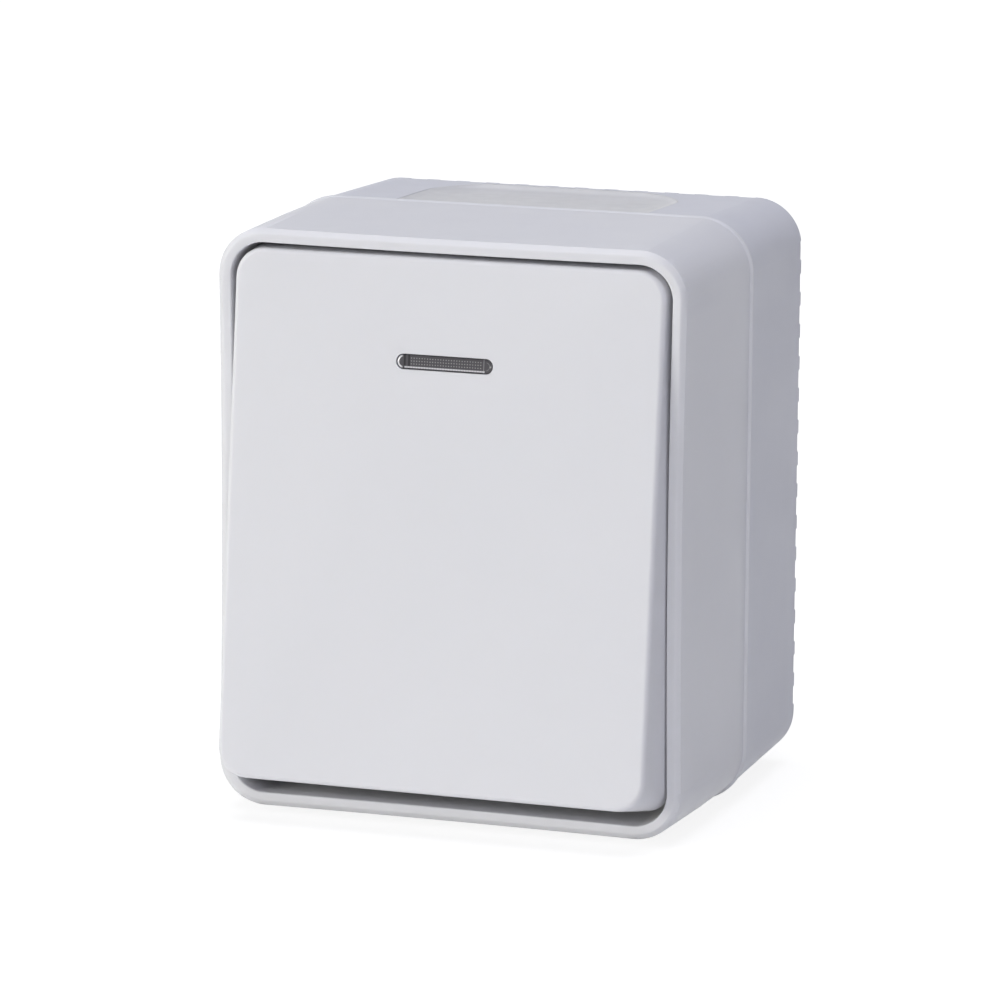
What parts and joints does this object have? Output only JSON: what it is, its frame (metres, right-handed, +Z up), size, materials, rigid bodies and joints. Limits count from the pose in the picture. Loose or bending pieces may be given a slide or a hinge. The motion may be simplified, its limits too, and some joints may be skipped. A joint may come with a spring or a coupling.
{
  "type": "weatherproof rocker light switch",
  "caption": "Surface-mounted weatherproof wall switch: rounded box, tapered cover frame and a wide tilting rocker key with an indicator window.",
  "frame": {"origin": "middle of the two wall-fixing slots, in the plane where the rear spacer pads and fixing bosses touch the wall", "axes": "+Z up, +Y into the wall, so the rocker faces -Y; +X to the right seen from the front"},
  "size_m": [0.0666, 0.0601, 0.0798],
  "materials": {
    "housing_plastic": "fine satin moulded white",
    "frame_plastic": "satin moulded white",
    "key_plastic": "fine matt moulded white",
    "soft_seal": "translucent soft grey",
    "gasket_rubber": "matt dark grey",
    "zinc_steel": "zinc plated",
    "mechanism_plastic": "matt off-white",
    "base_plastic": "matt dark grey",
    "actuator_plastic": "matt pale grey",
    "plunger_plastic": "smooth ivory",
    "contact_copper": "rolled copper alloy",
    "contact_silver": "silver alloy",
    "clamp_brass": "plain brass",
    "lamp_glass": "tinted glass",
    "resistor_body": "lacquered ceramic",
    "lead_wire": "tinned wire",
    "lens_clear": "clear smoky plastic",
    "spring_steel": "bright spring wire"
  },
  "bodies": {
    "case": {"rear_box": "housing_plastic", "top_cable_seal": "soft_seal", "bottom_cable_seal": "soft_seal", "cover_frame": "frame_plastic", "frame_gasket": "gasket_rubber", "cover_screws": "zinc_steel", "mechanism_seal": "gasket_rubber", "mechanism_cover": "mechanism_plastic", "mechanism_screws": "zinc_steel", "mechanism_base": "base_plastic", "upper_fixed_contact": "contact_copper", "lower_fixed_contact": "contact_copper", "common_contact": "contact_copper", "fixed_contact_rivets": "contact_silver", "terminal_clamps": "clamp_brass", "terminal_screws": "zinc_steel", "lamp_holder": "mechanism_plastic", "indicator_lamp": "lamp_glass", "lamp_resistor": "resistor_body", "lamp_leads": "lead_wire"},
    "rocker": {"rocker_key": "key_plastic", "indicator_lens": "lens_clear", "light_guide": "lens_clear", "actuator": "actuator_plastic", "plunger_spring": "spring_steel"},
    "plunger": {"plunger": "plunger_plastic"},
    "contact": {"contact_rocker": "contact_copper", "moving_contact_rivets": "contact_silver"}
  },
  "joints": [
    {"name": "rocker_tilt", "type": "hinge", "parent": "case", "child": "rocker", "pos_m": [0, -0.04215, 0], "axis": [1, 0, 0], "range_deg": [0, 12]},
    {"name": "contact_tilt", "type": "hinge", "parent": "case", "child": "contact", "pos_m": [0, -0.0263, 0], "axis": [1, 0, 0], "range_deg": [-16.1, 0]},
    {"name": "plunger_slide", "type": "slide", "parent": "rocker", "child": "plunger", "axis": [0, -0.9945, 0.1045], "range_m": [0, 0.0015], "stiffness_N_per_m": 600, "springref_m": -0.002, "deforming": ["plunger_spring"]}
  ],
  "couplings": [
    {"joint": "contact_tilt", "follows": "rocker_tilt", "ratio": -1.3333}
  ]
}
